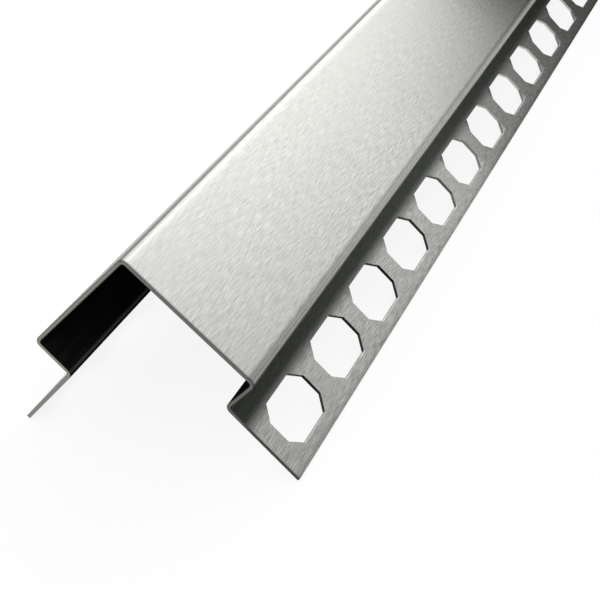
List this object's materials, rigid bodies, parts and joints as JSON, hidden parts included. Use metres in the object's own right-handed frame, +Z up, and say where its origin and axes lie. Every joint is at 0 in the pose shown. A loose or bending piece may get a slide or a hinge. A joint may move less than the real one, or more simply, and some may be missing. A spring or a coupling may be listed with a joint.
{
  "type": "tile edge trim",
  "caption": "Folded brushed stainless outside-corner tile trim: a rounded, nearly square cover with a step on each side to a perforated anchoring flange, as straight stock.",
  "frame": {"origin": "middle of the length, under the ridge, on the surface that the trim lies on", "axes": "+Y along the stock with its first end at -Y, +Z up through the ridge, +X to one flange"},
  "size_m": [0.074, 1, 0.052],
  "materials": {
    "steel": "brushed along the length on the outer side, plain mill finish on the inner side"
  },
  "bodies": {
    "root": {"trim_profile": "steel"}
  },
  "joints": []
}
